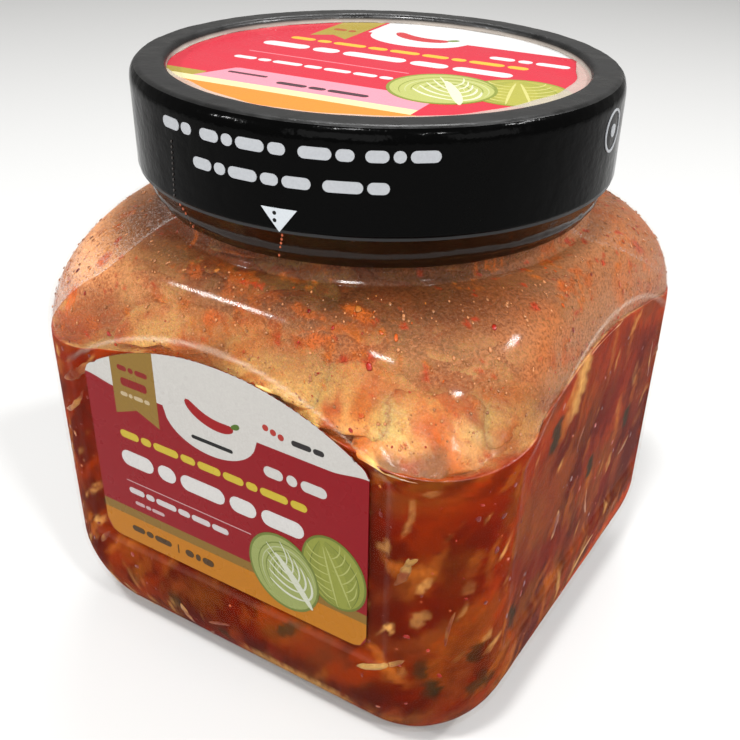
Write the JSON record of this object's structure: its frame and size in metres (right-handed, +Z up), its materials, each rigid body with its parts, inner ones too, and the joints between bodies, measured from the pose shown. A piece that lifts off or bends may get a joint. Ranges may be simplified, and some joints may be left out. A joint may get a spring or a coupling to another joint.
{
  "type": "kimchi jar",
  "caption": "Square clear plastic jar of cabbage kimchi with a wide round neck, a black screw cap, a black shrink band and plain-coloured labels.",
  "frame": {"origin": "centre of the foot, on the surface that the jar stands on", "axes": "+Z up through the cap; the front label faces -Y; the flat sides face along X and Y"},
  "size_m": [0.1306, 0.1306, 0.1476],
  "materials": {
    "clear_plastic": "clear blown plastic, hazy inside where sauce and droplets cling",
    "kimchi": "wet cabbage in chilli sauce",
    "black_plastic": "satin moulded plastic",
    "black_film": "glossy shrink film",
    "lid_print": "glossy printed label in fields of colour",
    "front_print": "glossy printed label in fields of colour"
  },
  "bodies": {
    "root": {"jar": "clear_plastic", "kimchi": "kimchi", "cap": "black_plastic", "shrink_band": "black_film", "lid_label": "lid_print", "front_label": "front_print"}
  },
  "joints": []
}
